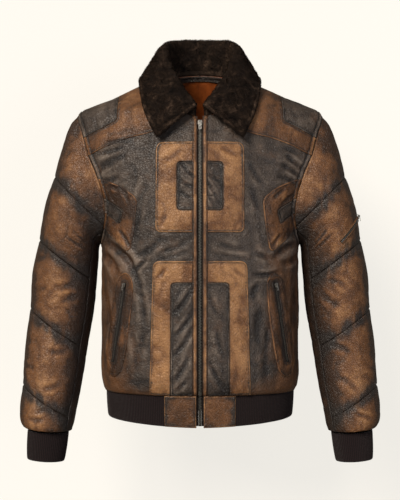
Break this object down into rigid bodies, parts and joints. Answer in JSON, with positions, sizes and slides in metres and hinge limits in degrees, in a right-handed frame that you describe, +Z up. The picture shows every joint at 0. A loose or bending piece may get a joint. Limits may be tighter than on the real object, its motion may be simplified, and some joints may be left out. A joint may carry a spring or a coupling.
{
  "type": "leather jacket held up by its wearer",
  "caption": "Hip-length zipped leather jacket, filled out as worn: pieced two-tone leather, slant-banded sleeves, shearling collar, ribbed hem and cuffs, hollow and open at neck, hem and cuffs.",
  "frame": {"origin": "middle of the neck opening, level with the shoulder seams at the neck, where the wearer's neck and shoulders hold the jacket up", "axes": "+Z up along the wearer's spine, -Y towards the front zip, +X towards the wearer's left sleeve"},
  "size_m": [0.6784, 0.2687, 0.8106],
  "materials": {
    "leather_tan": "waxed, rubbed and crackled",
    "leather_dark": "waxed, rubbed grey-brown",
    "shearling": "sheared wool pile",
    "rib_knit": "wool rib",
    "lining": "quilted satin",
    "zip_tape": "woven tape",
    "zip_metal": "worn gunmetal plate"
  },
  "bodies": {
    "jacket": {"back": "leather_dark", "belly_arch_left": "leather_tan", "belly_arch_right": "leather_tan", "belly_inset_left": "leather_dark", "belly_inset_right": "leather_dark", "chest_frame_left": "leather_tan", "chest_frame_right": "leather_tan", "chest_inset_left": "leather_dark", "chest_inset_right": "leather_dark", "collar": "shearling", "cuff_left": "rib_knit", "cuff_right": "rib_knit", "front_left": "leather_dark", "front_right": "leather_dark", "hem_rib": "rib_knit", "hem_tab_left": "leather_tan", "hem_tab_right": "leather_tan", "lining_back": "lining", "main_slider": "zip_metal", "neck_binding": "leather_dark", "pocket_frame_left": "leather_tan", "pocket_frame_right": "leather_tan", "pocket_left_slider": "zip_metal", "pocket_right_slider": "zip_metal", "pocket_zip_left": "zip_tape", "pocket_zip_right": "zip_tape", "shoulder_cap_left": "leather_dark", "shoulder_cap_right": "leather_dark", "side_flash_left": "leather_dark", "side_flash_right": "leather_dark", "side_patch_left": "leather_tan", "side_patch_right": "leather_tan", "sleeve_band_1_left": "leather_tan", "sleeve_band_1_right": "leather_tan", "sleeve_band_2_left": "leather_tan", "sleeve_band_2_right": "leather_tan", "sleeve_band_3_left": "leather_tan", "sleeve_band_3_right": "leather_tan", "sleeve_band_4_left": "leather_tan", "sleeve_band_4_right": "leather_tan", "sleeve_band_5_left": "leather_tan", "sleeve_band_5_right": "leather_tan", "sleeve_slider": "zip_metal", "sleeve_zip": "zip_tape", "under_sleeve_left": "leather_tan", "under_sleeve_right": "leather_tan", "yoke_left": "leather_tan", "yoke_right": "leather_tan", "zip_border_left": "leather_tan", "zip_border_right": "leather_tan", "zip_chain": "zip_metal", "zip_tape_left": "zip_tape", "zip_tape_right": "zip_tape"},
    "main_pull": {"main_pull": "zip_metal"},
    "pocket_left_pull": {"pocket_left_pull": "zip_metal"},
    "pocket_right_pull": {"pocket_right_pull": "zip_metal"},
    "sleeve_pull": {"sleeve_pull": "zip_metal"}
  },
  "joints": [
    {"name": "main_pull_swing", "type": "hinge", "parent": "jacket", "child": "main_pull", "pos_m": [0, -0.10377, -0.0951], "axis": [-1, 0, 0], "range_deg": [0, 165]},
    {"name": "pocket_left_pull_swing", "type": "hinge", "parent": "jacket", "child": "pocket_left_pull", "pos_m": [0.14071, -0.11034, -0.39418], "axis": [-0.796, -0.5707, -0.2017], "range_deg": [0, 165]},
    {"name": "pocket_right_pull_swing", "type": "hinge", "parent": "jacket", "child": "pocket_right_pull", "pos_m": [-0.14071, -0.11034, -0.39418], "axis": [-0.796, 0.5707, 0.2017], "range_deg": [0, 165]},
    {"name": "sleeve_pull_swing", "type": "hinge", "parent": "jacket", "child": "sleeve_pull", "pos_m": [0.30467, -0.01085, -0.26601], "axis": [-0.2292, -0.7215, 0.6534], "range_deg": [0, 165]}
  ]
}
